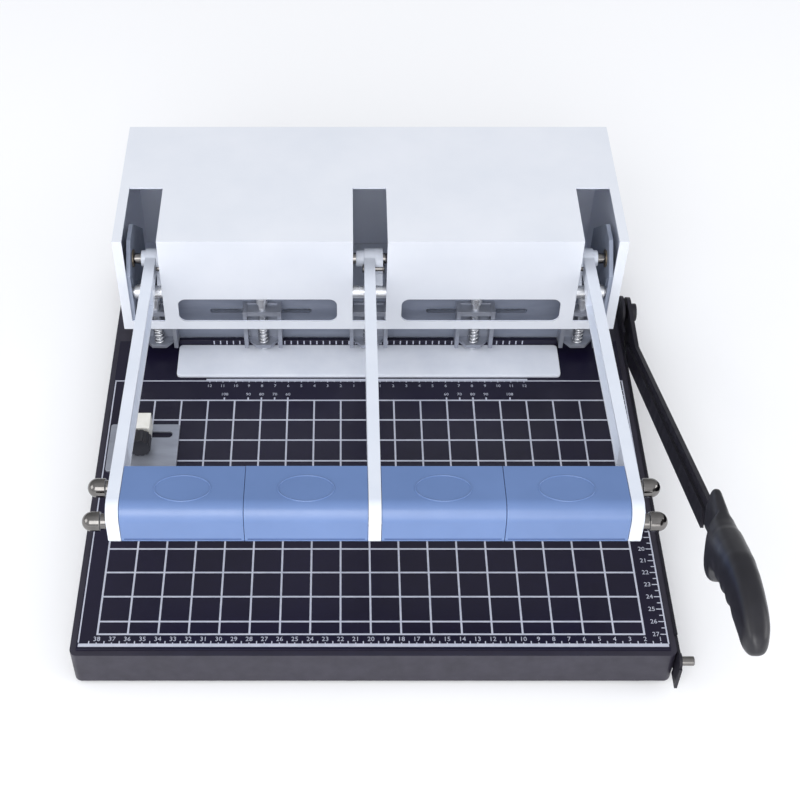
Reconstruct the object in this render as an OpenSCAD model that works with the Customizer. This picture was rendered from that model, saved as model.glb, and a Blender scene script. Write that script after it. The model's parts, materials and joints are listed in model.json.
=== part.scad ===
// Desk punch with three adjustable punches, a wide lever and a side trimmer.
// X runs to the right, Y to the back, Z up; the origin is under the middle of the base.

/* [Base] */
// Width of the base tray
base_w = 397; // [380:1:420]
// Depth of the base tray, front to back
base_d = 411; // [400:1:440]
// Height of the base tray without its feet and panel
tray_h = 30; // [24:1:40]
// Sheet thickness of the base tray
tray_wall = 1.5; // [1:0.1:3]
// Corner radius of the base tray in plan
tray_corner = 5; // [3:0.5:10]
// Height of the rubber feet below the tray
foot_h = 3; // [2:0.5:8]
// Diameter of a rubber foot
foot_d = 18; // [12:1:24]
// Distance of each foot's centre from the edges of the tray
foot_inset = 22; // [16:1:40]
// Thickness of the printed panel
panel_t = 1; // [0.6:0.1:2]
// Bare rim of the tray left around the panel
panel_margin = 4; // [2:0.5:8]
// Distance from the front edge of the tray to the face of the paper fence
fence_from_front = 286; // [270:1:300]

/* [Paper bed] */
// Distance of the cutting pad's ends from the sides of the tray
pad_in = 51.5; // [44:0.5:68]
// Depth of the cutting pad
pad_d = 33; // [24:1:45]
// Thickness of the cutting pad
pad_t = 3; // [2:0.5:4]
// Depth of the fence strip behind the paper
fence_t = 3.5; // [3:0.5:3.5]
// Gap between the fence strip and the punch heads above it
fence_gap = 0.5; // [0.3:0.1:3]
// Height of the paper throat above the pad
throat_h = 5; // [4:0.5:7]

/* [Hood] */
// Distance of the hood's sides from the sides of the tray
hood_in = 12.5; // [9:0.5:14.5]
// Depth of the hood
hood_d = 136; // [120:1:138]
// Height of the hood above the tray
hood_h = 119; // [112:1:140]
// Sheet thickness of the hood
hood_t = 1.5; // [1:0.1:2]
// Distance of the hood's front face before the fence
hood_overhang = 14.3; // [14:0.1:18]
// Height of the hood's lower front edge above the tray
hood_gap = 31.6; // [26:0.2:34]
// Height of the strip left under the windows and the lever slots
lip_h = 7.9; // [5:0.1:10]
// Width of a lever slot
slot_w = 25; // [24:0.5:28]
// Reach of the lever slots over the top of the hood
slot_run = 61.5; // [50:0.5:80]
// Distance of an outer slot's middle from the hood's side
slot_in = 19.4; // [18:0.2:22]
// Distance of a window's inner end from the middle of the hood
window_in = 24.2; // [18:0.2:40]
// Distance of a window's outer end from the hood's side
window_end = 42.7; // [40:0.1:66]
// Height of a window
window_h = 22.8; // [16:0.2:28]
// Corner radius of a window
window_r = 6; // [3:0.5:8]
// Length of the side walls that stops short of the tray
side_cut = 32; // [25:1:60]
// Width of the flanges that fix the hood to the tray
flange_w = 12; // [9:0.5:16]

/* [Frame] */
// Gap between a cheek and the hood's side wall
cheek_gap = 5; // [3.5:0.1:6]
// Thickness of a cheek
cheek_t = 3; // [2:0.5:4]
// Thickness of the head rail
rail_t = 3; // [2:0.5:4]
// Height of the head rail
rail_h = 46; // [42:1:50]
// Height of the rail slots
rail_slot_h = 4.6; // [4.4:0.1:6]
// Distance of a rail slot's inner end from the middle
rail_slot_in = 46; // [40:1:50]
// Distance of a rail slot's outer end from the middle
rail_slot_out = 119; // [116:1:124]

/* [Lever] */
// Distance of the lever's pivot behind the fence face
pivot_back = 8.5; // [6:0.5:12]
// Height of the lever's pivot above the printed panel
pivot_up = 82; // [80:0.5:90]
// Diameter of the lever shaft
shaft_d = 8; // [7:0.5:8.5]
// Diameter of the journals at the ends of the shaft
journal_d = 6; // [5:0.5:7]
// Distance of an outer arm's middle from the hood's side
arm_in = 23.5; // [23:0.5:26]
// Thickness of an arm
arm_t = 8; // [7:0.5:9]
// Length of an arm from the pivot to its front end
arm_len = 262; // [250:1:275]
// Slope of the arms up to the front with the lever pressed down, in degrees
arm_rise = 4.5; // [0:0.5:8]
// Height of the arms' top above the pivot
arm_up = 4.5; // [4.2:0.1:6]
// Radius of an arm's hub
hub_r = 10; // [9.5:0.1:10.4]
// Depth of an arm between the hub and the grips
arm_h = 21; // [18:1:24]
// Wall of the channel in the outer arms
channel_wall = 2.4; // [1.5:0.1:3.5]
// Thickness of a cam
cam_t = 6; // [4:0.5:8]
// Swing of the lever from pressed down to raised, in degrees
lever_swing = 85; // [70:1:88]
// Travel of the press bar over the whole swing
stroke = 9; // [7:0.5:9.5]
// Depth of a grip, front to back
grip_d = 39.5; // [38:0.5:46]
// Height of a grip
grip_h = 29.5; // [26:0.5:32]
// Radius of a grip's upper front edge
grip_r = 11; // [8:0.5:13]
// Distance between the two grip rods
rod_gap = 29; // [26:0.5:30]
// Diameter of a grip rod
rod_d = 6; // [5:0.5:7]
// Diameter of an acorn nut
nut_d = 12.5; // [11:0.5:15]

/* [Punches] */
// Distance of the press bar and punches before the fence face
bar_front = 6.7; // [6.4:0.1:7]
// Diameter of the press bar
bar_d = 10; // [8:0.5:10.5]
// Distance of the outer punches from the middle as set
punch_x = 81; // [72:1:100]
// Distance of the return posts from the hood's side
post_in = 24.5; // [24:0.5:28]
// Diameter of a punch
punch_d = 5.5; // [5:0.1:6]
// Bore of a hollow punch
punch_bore = 3.5; // [2.5:0.1:4]
// Width of a punch head
head_w = 29; // [26:0.5:29]
// Side wall of a punch head
head_wall = 3; // [3:0.5:5]
// Height of a punch head
head_h = 38; // [36:0.5:40]
// Wire thickness of the springs
wire_d = 1.1; // [0.8:0.1:1.2]

/* [Trimmer] */
// Distance of the trimmer pivot behind the fence face
trim_back = 24; // [20:1:30]
// Height of the trimmer pivot above the printed panel
trim_up = 11.5; // [10:0.5:14]
// Angle of the trimmer arm above level as shown, in degrees
trim_angle = 22.5; // [10:0.5:40]
// Length of the trimmer arm from its pivot to the handle
trim_len = 294; // [290:1:300]
// Depth of the trimmer arm
trim_h = 18; // [16:1:22]
// Distance of the trimmer arm's middle below its pivot
trim_drop = 18.5; // [17:0.5:20]
// Thickness of the trimmer arm
trim_t = 3; // [2:0.5:4]
// Tail of the trimmer arm behind its pivot
trim_tail = 12; // [10:1:16]
// Thickness of the knives
knife_t = 2; // [1.5:0.1:3]
// Depth of the upper knife below the trimmer arm
knife_drop = 2.5; // [2:0.5:4]
// Length of the handle
handle_l = 133; // [125:1:140]
// Width of the handle
handle_w = 19; // [16:1:22]
// Diameter of the trimmer's pivot bolt
bolt_d = 8; // [7:0.5:10]
// Diameter of the stop pin
stop_d = 6; // [5:0.5:7]

/* [Side stop] */
// Width of the side stop plate
stop_w = 51; // [46:1:60]
// Depth of the side stop plate
stop_depth = 45; // [40:1:52]
// Thickness of the side stop plate
stop_t = 2; // [1.5:0.1:3]
// Distance of the plate's left edge from the tray's left edge
stop_left = 7; // [2:0.5:12]
// Distance of the plate's back edge before the fence face
stop_front = 86; // [70:1:100]
// Diameter of the clamp knob
knob_d = 17; // [14:0.5:20]
// Thickness of the clamp knob
knob_t = 11; // [8:0.5:14]

/* [Fits] */
// Radial clearance of a running fit
run_fit = 0.05; // [0.02:0.01:0.1]
// Gap between faces that slide or swing past each other
air = 0.3; // [0.2:0.05:0.5]

/* [Hidden] */
$fn = 64;
eps = 0.01;
tray_top = foot_h + tray_h;
board_top = tray_top + panel_t;
front_y = -base_d / 2;
fence_y = front_y + fence_from_front;
panel_lap = 3.5;
panel_back = fence_y + panel_lap;
pad_top = board_top + pad_t;
pad_w = base_w - 2 * pad_in;

hood_w = base_w - 2 * hood_in;
hood_x = hood_w / 2;
slot_x = hood_x - slot_in;
window_out = hood_x - window_end;
cheek_x = hood_x - hood_t - cheek_gap - cheek_t;
arm_x = hood_x - arm_in;
post_x = hood_x - post_in;
hood_front = fence_y - hood_overhang;
hood_top = tray_top + hood_h;
lip_z = tray_top + hood_gap;
lip_top = lip_z + lip_h;

pivot_y = fence_y + pivot_back;
pivot_z = board_top + pivot_up;
bar_y = fence_y - bar_front;
bar_r = bar_d / 2;
bar_drop = 19.7;
bar_z = pivot_z - bar_drop;
end_d = bar_d * 0.6;
collar_t = 3;
lift_rate = stroke / lever_swing;

head_z = pad_top + throat_h;
head_top = head_z + head_h;
fence_h = head_z - fence_gap - board_top;
guide_h = 3;
guide_nose = 11;
collar_z = head_z + 18;
nut_h = 5;
nut_w = 8.4;
cap_h = 6;
head_back = 2.2;
head_front = hood_front + hood_t + 0.5;
head_top_t = 4;
head_screw_x = 8;
screw_d = 4;
screw_l = 8;
flush_head = 1.2;
rail_z = head_z;
rail_foot = 12;
cheek_set = 20;
cheek_d = 46;
cheek_y = fence_y + cheek_set;
cheek_back = cheek_y + cheek_d;
cheek_foot = 16;
cheek_crown = 18;
cheek_screw_in = 10;
bush_wall = 2.5;
flange_t = 1.2;
shaft_proud = 1;
flange_y = cheek_back + 4;
flange_screws = [6, 22];
rail_slot_up = 28;
rail_slot_z = head_z + rail_slot_up;

arm_top = pivot_z + arm_up;
arm_front = pivot_y - arm_len;
hub_drop = 3.2;
neck_h = 12.5;
neck_l = 24;
neck_ramp = 12;
nose_l = grip_d + 4;
nose_ramp = 14;
toe_y = arm_front + nose_l + nose_ramp;
rod_in = 5.4;
rod_z = arm_top - grip_h / 2;
rod_y1 = arm_front + rod_in;
rod_out = 9;
rod_y2 = rod_y1 + rod_gap;
grip_w = (arm_x - arm_t - 3 * air) / 2;
boss_l = 3.3;
boss_d = shaft_d + 4;
rivet_d = 4;
rivet_head = 6;
rivet_r = boss_d / 2 + rivet_head / 2 + air;
rivet_head_t = 1.2;
sole_r = 4;
nut_collar = 4;
nut_body = 5.5;

side_x = base_w / 2;
knife_x = side_x + knife_t + air;
trim_x = knife_x + knife_t;
trim_y = fence_y + trim_back;
trim_z = board_top + trim_up;
trim_stop = 2.9;
collar_lip = 0.5;
arm_low = trim_drop + trim_h / 2;
collar_low = arm_low + collar_lip;
stop_y = front_y - 2;
stop_z = trim_z + (trim_y - stop_y - collar_low * sin(trim_stop)) * tan(trim_stop)
    - collar_low * cos(trim_stop) - stop_d / 2 / cos(trim_stop) - air;
stop_lug = 9;
stop_plate_l = 15.5;
knife_gap = 0.5;
bed_knife_h = 18;
side_screw_drop = 14;
side_screw_l = 7.2;
side_screw_front = 50;
side_screw_back = 40;
side_screw_in = 7.5;
bracket_w = 43;
bracket_h = 22;
eye_r = 13;
knife_heel = 24;
knife_toe = 4;
knife_lap = 11;
knife_screws_n = 4;
knife_screw_in = 36;
tang_l = 40;
handle_neck = 26;

plate_x = -side_x + stop_left;
plate_y = fence_y - stop_front - stop_depth;
plate_slot_w = 6;
plate_slot_y = plate_y + stop_depth - 10;
block_x = plate_x + 24;
block_w = 14;
block_d = 15;
block_h = 15;
block_z = board_top + stop_t + air;
plate_slot_in = 8;
pin_x = 4;
neck_knob = 3;
knob_y = plate_slot_y - block_d / 2 - neck_knob;
knob_z = block_z + knob_d / 2;
knob_rib = 2.4;

// Plate with rounded corners, centred in plan
module rounded_plate(w, d, h, r) {
    linear_extrude(h) {
        square([w - 2 * r, d], center = true);
        square([w, d - 2 * r], center = true);
        for (x = [-1, 1], y = [-1, 1])
            translate([x * (w / 2 - r), y * (d / 2 - r)]) circle(r);
    }
}

// Turns an outline drawn in Y and Z into a plate that grows along X from x
module side_plate(x, t) {
    translate([x, 0, 0]) rotate([90, 0, 90]) linear_extrude(t) children();
}

// Round bar along X from x1 to x2 at a given Y and Z
module x_bar(x1, x2, y, z, d) {
    translate([x1, y, z]) rotate([0, 90, 0]) cylinder(d = d, h = x2 - x1);
}

// Slot with round ends between two points of a plane
module slot_2d(a, b, w) {
    run = b - a;
    for (p = [a, b]) translate(p) circle(d = w);
    translate((a + b) / 2)
        square([run.x == 0 ? w : abs(run.x), run.y == 0 ? w : abs(run.y)], center = true);
}

// Pan-head screw along +Z, with its head's underside at z = 0
module pan_screw(d, l) {
    cylinder(d = d * 1.8, h = d * 0.55);
    translate([0, 0, -l]) cylinder(d = d, h = l + eps);
}

// Clearance hole for a screw, through whatever it crosses
module screw_hole() {
    cylinder(d = screw_d + 2 * run_fit, h = 4 * screw_l, center = true);
}

// Base
module base_tray() color("#4b4a52") difference() {
    translate([0, 0, foot_h]) rounded_plate(base_w, base_d, tray_h, tray_corner);
    translate([0, 0, foot_h - 1])
        rounded_plate(base_w - 2 * tray_wall, base_d - 2 * tray_wall, tray_h - tray_wall + 1,
            tray_corner - tray_wall);
    hood_screw_places() screw_hole();
    cheek_screw_places() screw_hole();
    side_screw_places() screw_hole();
}

module rubber_feet() color("#1d1c20")
    for (x = [-1, 1], y = [-1, 1])
        translate([x * (side_x - foot_inset), y * (base_d / 2 - foot_inset), 0]) {
            cylinder(d = foot_d, h = foot_h);
            cylinder(d = foot_d * 0.55, h = foot_h + tray_h - tray_wall);
        }

module board_panel() color("#262430")
    translate([-side_x + panel_margin, front_y + panel_margin, tray_top])
        cube([base_w - 2 * panel_margin, panel_back - front_y - panel_margin, panel_t]);

module cutting_pad() color("#cfd3dc")
    translate([0, fence_y - fence_t - pad_d / 2, board_top]) rounded_plate(pad_w, pad_d, pad_t, 3);

module fence_strip() color("#24222c")
    translate([-pad_w / 2, fence_y - fence_t, board_top]) cube([pad_w, fence_t, fence_h]);

// Hood
module hood_slot(x) {
    translate([x - slot_w / 2, hood_front - 1, lip_top])
        cube([slot_w, slot_run + 1, hood_h]);
}

module hood_window(side) {
    w = window_out - window_in;
    translate([side * (window_in + w / 2), hood_front - 1, lip_top + window_h / 2])
        rotate([-90, 0, 0]) rounded_plate(w, window_h, hood_t + 2, window_r);
}

module hood_screw_places() {
    for (x = [-1, 1], y = flange_screws)
        translate([x * (hood_w / 2 - hood_t - flange_w / 2), flange_y + y, tray_top + hood_t])
            children();
}

module hood() color("#e4e7ef") difference() {
    union() {
        difference() {
            translate([-hood_w / 2, hood_front, tray_top]) cube([hood_w, hood_d, hood_h]);
            translate([-hood_w / 2 + hood_t, hood_front + hood_t, tray_top - 1])
                cube([hood_w - 2 * hood_t, hood_d - 2 * hood_t, hood_h + 1 - hood_t]);
        }
        for (x = [-1, 1])
            translate([x * (hood_w / 2 - hood_t - flange_w / 2) - flange_w / 2 - eps, flange_y, tray_top])
                cube([flange_w + 2 * eps, hood_front + hood_d - hood_t - flange_y + eps, hood_t]);
    }
    translate([-hood_w / 2 - 1, hood_front - 1, tray_top - 1])
        cube([hood_w + 2, side_cut + 1, hood_gap + 1]);
    for (x = [-slot_x, 0, slot_x]) hood_slot(x);
    for (side = [-1, 1]) hood_window(side);
    hood_screw_places() screw_hole();
}

module hood_screws() color("#b8bac0") hood_screw_places() pan_screw(screw_d, screw_l);

// Frame inside the hood
module cheek_outline() {
    crown = pivot_z + cheek_crown;
    polygon([[cheek_y, tray_top], [cheek_back, tray_top], [cheek_back, bar_z],
        [pivot_y + cheek_crown, crown], [pivot_y, crown], [head_front, pivot_z],
        [head_front, lip_z], [cheek_y, lip_z]]);
}

module cheek_screw_places() {
    for (x = [-1, 1], y = [cheek_y + cheek_screw_in, cheek_back - cheek_screw_in])
        translate([x * (cheek_x - cheek_foot / 2), y, tray_top + cheek_t]) children();
}

module cheek(side) {
    difference() {
        union() {
            side_plate(side > 0 ? cheek_x : -cheek_x - cheek_t, cheek_t) cheek_outline();
            translate([side > 0 ? cheek_x - cheek_foot : -cheek_x - eps, cheek_y, tray_top])
                cube([cheek_foot + eps, cheek_back - cheek_y, cheek_t]);
        }
        x_bar(-base_w, base_w, pivot_y, pivot_z, journal_d + 2 * bush_wall);
        side_plate(-base_w, 2 * base_w)
            slot_2d([bar_y, bar_z], [bar_y, bar_z + stroke], end_d + 2 * air);
        cheek_screw_places() screw_hole();
    }
}

module left_cheek() color("#8d929c") cheek(-1);
module right_cheek() color("#8d929c") cheek(1);
module cheek_screws() color("#b8bac0") cheek_screw_places() pan_screw(screw_d, screw_l);

module head_rail() color("#8a8c93") difference() {
    translate([-cheek_x, fence_y, rail_z]) cube([2 * cheek_x, rail_t, rail_h]);
    for (side = [-1, 1])
        translate([0, fence_y + rail_t + 1, 0]) rotate([90, 0, 0]) linear_extrude(rail_t + 2)
            slot_2d([side * rail_slot_in, rail_slot_z], [side * rail_slot_out, rail_slot_z], rail_slot_h);
    for (x = [-post_x, 0, post_x], dx = [-1, 1])
        translate([x + dx * head_screw_x, fence_y - 1, rail_slot_z]) rotate([-90, 0, 0])
            cylinder(d = screw_d + 2 * run_fit, h = rail_t + 2);
}

// Angles that hold the ends of the head rail on the cheeks
module rail_brackets() color("#8d929c")
    for (side = [-1, 1])
        translate([side > 0 ? cheek_x - rail_foot : -cheek_x, fence_y + rail_t, rail_slot_z + screw_d + 1])
            cube([rail_foot, rail_foot, rail_z + rail_h - rail_slot_z - screw_d - 1]);

module shaft_bushes() color("#b08d4a")
    for (side = [-1, 1]) difference() {
        union() {
            x_bar(side * cheek_x - (side < 0 ? cheek_t : 0), side * cheek_x + (side > 0 ? cheek_t : 0),
                pivot_y, pivot_z, journal_d + 2 * bush_wall);
            x_bar(side * (cheek_x - flange_t / 2) - flange_t / 2,
                side * (cheek_x - flange_t / 2) + flange_t / 2, pivot_y, pivot_z,
                journal_d + 2 * bush_wall + 2 * flange_t);
        }
        x_bar(-base_w, base_w, pivot_y, pivot_z, journal_d + 2 * run_fit);
    }

// Lever
module lever_shaft() color("#c9ccd2") {
    x_bar(-cheek_x + flange_t + air, cheek_x - flange_t - air, pivot_y, pivot_z, shaft_d);
    x_bar(-cheek_x - cheek_t - shaft_proud, cheek_x + cheek_t + shaft_proud, pivot_y, pivot_z, journal_d);
}

// Turns the lever's front stretch up about the pivot
module raised() {
    translate([0, pivot_y, pivot_z]) rotate([-arm_rise, 0, 0]) translate([0, -pivot_y, -pivot_z]) children();
}

// Outline of the lever's front end over a given depth, as the grips and the arms have it
module nose_outline(depth) {
    low = arm_top - grip_h;
    translate([arm_front + grip_r, low]) square([depth - grip_r, grip_h]);
    translate([arm_front, low + sole_r]) square([grip_r + eps, grip_h - sole_r - grip_r]);
    translate([arm_front + sole_r, low]) square([grip_r, grip_h - grip_r]);
    translate([arm_front + sole_r, low + sole_r]) circle(sole_r);
    translate([arm_front + grip_r, arm_top - grip_r]) circle(grip_r);
}

// Stretch of an arm between the nose and the neck
module shank_outline(inset) {
    top = arm_top - inset;
    low = arm_top - arm_h + inset;
    polygon([[toe_y + inset, low], [pivot_y - neck_l - neck_ramp - inset, low],
        [pivot_y - neck_l - neck_ramp - inset, top], [toe_y + inset, top]]);
}

module hub_outline() {
    translate([0, -hub_drop]) circle(hub_r);
}

module arm_outline() {
    neck = arm_top - neck_h;
    ramp = pivot_y - neck_l - neck_ramp;
    translate([pivot_y, pivot_z]) hub_outline();
    translate([pivot_y - neck_l - eps, neck]) square([neck_l + eps, neck_h]);
    polygon([[ramp, arm_top - arm_h], [pivot_y - neck_l, neck], [pivot_y - neck_l, arm_top], [ramp, arm_top]]);
    shank_outline(0);
    polygon([[toe_y - nose_ramp, arm_top - grip_h], [toe_y, arm_top - arm_h], [toe_y, arm_top],
        [toe_y - nose_ramp, arm_top]]);
    nose_outline(nose_l);
}

module arm_holes(x) {
    reach = 2 * (arm_t + cam_t);
    x_bar(x - reach, x + reach, pivot_y, pivot_z, shaft_d + 2 * run_fit);
    for (p = rivet_places()) x_bar(x - reach, x + reach, p.x, p.y, rivet_d + 2 * run_fit);
    raised() for (y = [rod_y1, rod_y2]) x_bar(x - reach, x + reach, y, rod_z, rod_d + 2 * run_fit);
}

module outer_arm(side) {
    x = side * arm_x;
    difference() {
        union() {
            raised() side_plate(x - arm_t / 2, arm_t) arm_outline();
            x_bar(side > 0 ? x : x - arm_t / 2 - boss_l, side > 0 ? x + arm_t / 2 + boss_l : x,
                pivot_y, pivot_z, boss_d);
        }
        raised() side_plate(x - arm_t / 2 - side * channel_wall, arm_t) shank_outline(channel_wall);
        arm_holes(x);
    }
}

module left_arm() color("#e3e7f0") outer_arm(-1);
module right_arm() color("#e3e7f0") outer_arm(1);
module centre_arm() color("#e3e7f0") difference() {
    union() {
        raised() side_plate(-arm_t / 2, arm_t) arm_outline();
        x_bar(-arm_t / 2 - cam_t, 0, pivot_y, pivot_z, boss_d);
    }
    arm_holes(0);
}

// Place of the bar's axis as seen from the lever when it is raised by an angle a
function bar_seen(a) =
    let (y = bar_y - pivot_y, z = bar_z - pivot_z + lift_rate * a)
    [y * cos(a) - z * sin(a), y * sin(a) + z * cos(a)];

// Point of the cam that carries the bar at the angle a
function cam_point(a) =
    let (p = bar_seen(a), t = bar_seen(a + 0.5) - bar_seen(a - 0.5), n = [-t.y, t.x] / norm(t))
    p + n * (bar_r + air);

function rivet_places() =
    [for (a = [194, 284]) [pivot_y, pivot_z] + rivet_r * [cos(a), sin(a)]];

module cam(x) {
    difference() {
        side_plate(x, cam_t) translate([pivot_y, pivot_z]) {
            hub_outline();
            polygon(concat([[0, 0]], [for (a = [-8 : 4 : lever_swing + 8]) cam_point(a)]));
        }
        x_bar(x - 1, x + cam_t + 1, pivot_y, pivot_z, shaft_d + 2 * run_fit);
        for (p = rivet_places()) x_bar(x - 1, x + cam_t + 1, p.x, p.y, rivet_d + 2 * run_fit);
    }
}

cam_places = [-arm_x + arm_t / 2, arm_t / 2, arm_x - arm_t / 2 - cam_t];
module left_cam() color("#5b5d66") cam(cam_places[0]);
module centre_cam() color("#5b5d66") cam(cam_places[1]);
module right_cam() color("#5b5d66") cam(cam_places[2]);

module cam_rivets() color("#d5d7dc")
    for (i = [0 : 2], p = rivet_places()) {
        x1 = cam_places[i] - (i < 2 ? arm_t : 0);
        x2 = cam_places[i] + cam_t + (i == 2 ? arm_t : 0);
        x_bar(x1, x2, p.x, p.y, rivet_d);
        x_bar(x1 - rivet_head_t, x1, p.x, p.y, rivet_head);
        x_bar(x2, x2 + rivet_head_t, p.x, p.y, rivet_head);
    }

module grip_rod(y) raised() x_bar(-arm_x - arm_t / 2 - rod_out, arm_x + arm_t / 2 + rod_out, y, rod_z, rod_d);
module front_grip_rod() color("#c9ccd2") grip_rod(rod_y1);
module rear_grip_rod() color("#c9ccd2") grip_rod(rod_y2);

module acorn_nuts() color("#cfcfd2") raised()
    for (side = [-1, 1], y = [rod_y1, rod_y2])
        translate([side * (arm_x + arm_t / 2), y, rod_z]) rotate([0, side * 90, 0]) difference() {
            union() {
                cylinder(d = nut_d - 2.5, h = nut_collar + eps);
                translate([0, 0, nut_collar]) cylinder(d = nut_d, h = nut_body);
                translate([0, 0, nut_collar + nut_body]) intersection() {
                    sphere(d = nut_d);
                    cylinder(d = nut_d, h = nut_d);
                }
            }
            translate([0, 0, -1]) cylinder(d = rod_d + 2 * run_fit, h = rod_out + 1 + run_fit);
        }

module grip(x) color("#6f8fce") raised() difference() {
    side_plate(x, grip_w) nose_outline(grip_d);
    for (y = [rod_y1, rod_y2]) x_bar(x - 1, x + grip_w + 1, y, rod_z, rod_d + 2 * run_fit);
}

module far_left_grip() grip(-arm_x + arm_t / 2 + air);
module left_grip() grip(-arm_t / 2 - air - grip_w);
module right_grip() grip(arm_t / 2 + air);
module far_right_grip() grip(arm_x - arm_t / 2 - air - grip_w);

// Press bar and the posts that lift it
module press_bar() color("#d9dbe0") {
    x_bar(-cheek_x + 1, cheek_x - 1, bar_y, bar_z, bar_d);
    x_bar(-cheek_x - cheek_t, cheek_x + cheek_t, bar_y, bar_z, end_d);
}

module bar_collars() color("#d9dbe0")
    for (side = [-1, 1]) difference() {
        x_bar(side * (cheek_x - 2.5 - collar_t / 2) - collar_t / 2,
            side * (cheek_x - 2.5 - collar_t / 2) + collar_t / 2, bar_y, bar_z, bar_d + 1);
        x_bar(-base_w, base_w, bar_y, bar_z, bar_d);
    }

// Round stem with a spring collar and a cap that meets the press bar
module stem(x, low, d) {
    top = bar_z - bar_r - air;
    translate([x, bar_y, low]) cylinder(d = d, h = top - low);
    translate([x, bar_y, collar_z]) cylinder(d = nut_w, h = nut_h, $fn = 6);
    translate([x, bar_y, top - cap_h]) cylinder(d = nut_w, h = cap_h);
}

module return_posts() color("#d5d7dc") for (side = [-1, 1]) stem(side * post_x, head_z - 1, punch_d);

// Helix of round wire between two heights about a vertical axis
module spring(x, low, high) {
    turns = 5;
    steps = 10 * turns;
    sides = 6;
    r = (nut_w - wire_d) / 2;
    rise = high - low - wire_d;
    ring = [for (i = [0 : steps], j = [0 : sides - 1])
        let (a = 360 * turns * i / steps, b = 360 * j / sides, q = r + wire_d / 2 * cos(b))
        [q * cos(a), q * sin(a), wire_d / 2 * (1 + sin(b)) + rise * i / steps]];
    skin = [for (i = [0 : steps - 1], j = [0 : sides - 1])
        let (k = (j + 1) % sides)
        [i * sides + j, i * sides + k, (i + 1) * sides + k, (i + 1) * sides + j]];
    first = [for (j = [0 : sides - 1]) sides - 1 - j];
    last = [for (j = [0 : sides - 1]) steps * sides + j];
    translate([x, bar_y, low]) polyhedron(ring, [for (f = concat(skin, [first, last]))
        [for (n = [len(f) - 1 : -1 : 0]) f[n]]]);
}

module punch_spring(x) color("#c4c7cc") spring(x, head_z + guide_h + air, collar_z - air);
module left_return_spring() punch_spring(-post_x);
module right_return_spring() punch_spring(post_x);
module left_punch_spring() punch_spring(-punch_x);
module centre_punch_spring() punch_spring(0);
module right_punch_spring() punch_spring(punch_x);

// Lower guide of a punch head, a plate that narrows to a nose round the punch
module guide_plate(x) translate([x, bar_y, head_z]) linear_extrude(guide_h) polygon([
    [-head_w / 2, bar_front], [-head_w / 2, guide_nose / 2], [-guide_nose / 2, -guide_nose / 2],
    [guide_nose / 2, -guide_nose / 2], [head_w / 2, guide_nose / 2], [head_w / 2, bar_front]]);

// Punch heads: a channel with a guide at each end
module punch_head(x) {
    depth = fence_y - head_front;
    difference() {
        union() {
            for (side = [-1, 1])
                translate([x + side * (head_w - head_wall) / 2 - head_wall / 2, head_front, head_z])
                    cube([head_wall, depth, head_h]);
            translate([x - head_w / 2, fence_y - head_back, head_z]) cube([head_w, head_back, head_h]);
            guide_plate(x);
            translate([x - head_w / 2, head_front + 1, head_top - head_top_t - 1])
                cube([head_w, depth - 1, head_top_t]);
        }
        translate([x, bar_y, head_z - 1]) cylinder(d = punch_d + 2 * run_fit, h = head_h + 2);
        for (dx = [-1, 1]) translate([x + dx * head_screw_x, fence_y + 1, rail_slot_z]) rotate([90, 0, 0])
            cylinder(d = screw_d, h = head_back + 2);
    }
}

module left_head() color("#9a9da5") punch_head(-punch_x);
module centre_head() color("#9a9da5") punch_head(0);
module right_head() color("#9a9da5") punch_head(punch_x);
module left_post_bracket() color("#9a9da5") punch_head(-post_x);
module right_post_bracket() color("#9a9da5") punch_head(post_x);

// Two screws that clamp a head to the rail from behind
module lock_screws(x) color("#b8bac0")
    for (dx = [-1, 1]) translate([x + dx * head_screw_x, fence_y + rail_t, rail_slot_z]) rotate([-90, 0, 0])
        pan_screw(screw_d, rail_t + head_back);

module left_lock_screws() lock_screws(-punch_x);
module right_lock_screws() lock_screws(punch_x);
module centre_lock_screws() for (x = [-post_x, 0, post_x]) lock_screws(x);

// Hollow punch with a side outlet for the paper discs
module punch(x) color("#d5d7dc") difference() {
    stem(x, pad_top + air, punch_d);
    translate([x, bar_y, pad_top]) cylinder(d = punch_bore, h = 16);
}

module left_punch() punch(-punch_x);
module centre_punch() punch(0);
module right_punch() punch(punch_x);

// Trimmer
module swung() {
    translate([0, trim_y, trim_z]) rotate([-trim_angle, 0, 0]) children();
}

module bed_knife() color("#3a3940") difference() {
    heel = trim_y - bracket_w / 2 - knife_gap;
    toe = front_y + stop_plate_l + knife_gap;
    translate([side_x, toe, tray_top - bed_knife_h]) cube([knife_t, heel - toe, bed_knife_h + panel_t]);
    side_screw_places() screw_hole();
}

module side_screw_places() {
    bracket_in = bracket_w / 2 - side_screw_in;
    for (y = [front_y + stop_plate_l / 2, front_y + side_screw_front, 0, trim_y - side_screw_back,
            trim_y - bracket_in, trim_y + bracket_in])
        translate([side_x + knife_t - flush_head, y, tray_top - side_screw_drop]) rotate([0, 90, 0]) children();
}

// Countersunk screws, flush with the knife and the brackets
module side_screws() color("#77777d") side_screw_places()
    translate([0, 0, flush_head - side_screw_l]) cylinder(d = screw_d, h = side_screw_l);

module pivot_bracket() color("#1f1e24") difference() {
    side_plate(side_x, knife_t) {
        translate([trim_y - bracket_w / 2, tray_top - bracket_h])
            square([bracket_w, trim_z - tray_top + bracket_h]);
        translate([trim_y, trim_z]) circle(eye_r);
    }
    x_bar(side_x - 1, side_x + knife_t + 1, trim_y, trim_z, bolt_d);
    side_screw_places() screw_hole();
}

module pivot_bolt() color("#2b2b30") {
    x_bar(side_x, trim_x + trim_t + air, trim_y, trim_z, bolt_d);
    x_bar(side_x + knife_t, trim_x - air, trim_y, trim_z, bolt_d + 5);
    x_bar(trim_x + trim_t + air, trim_x + trim_t + 5, trim_y, trim_z, bolt_d + 6);
}

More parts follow.
